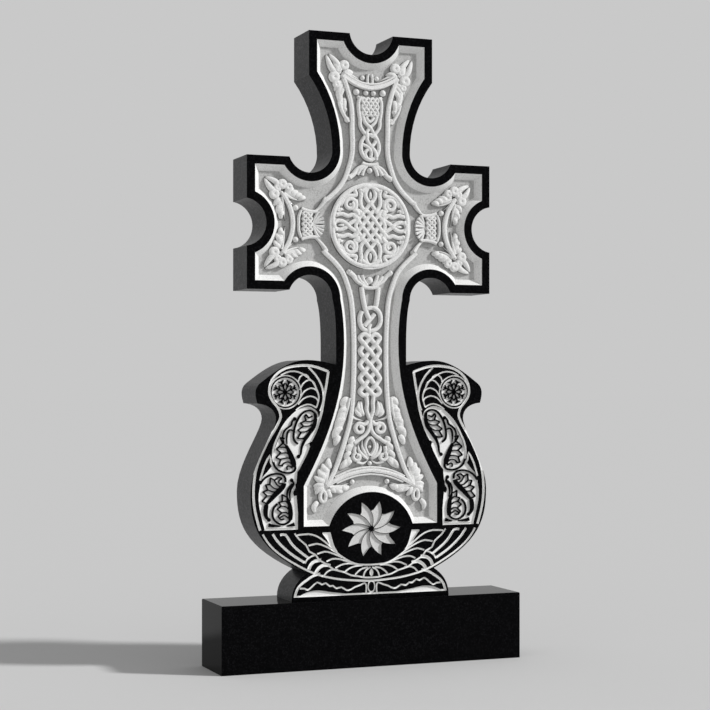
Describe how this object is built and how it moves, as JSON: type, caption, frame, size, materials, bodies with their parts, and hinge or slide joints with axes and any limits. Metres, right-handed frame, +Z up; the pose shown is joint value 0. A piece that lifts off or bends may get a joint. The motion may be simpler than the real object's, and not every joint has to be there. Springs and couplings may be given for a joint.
{
  "type": "celtic cross headstone",
  "caption": "Carved polished granite cross headstone with a sunk interlace cross, bird-shaped wings, a whirl rosette and a plain plinth block",
  "frame": {"origin": "Middle of the plinth's underside, on the ground", "axes": "+Z up along the cross, +X to the right along the arms, -Y towards the carved face"},
  "size_m": [0.715, 0.15, 1.411],
  "materials": {
    "carved_granite": "milled matt granite in the carving, polished near-black granite on the uncut face and edges",
    "polished_granite": "mirror-polished black granite"
  },
  "bodies": {
    "root": {"slab": "carved_granite", "plinth": "polished_granite"}
  },
  "joints": []
}
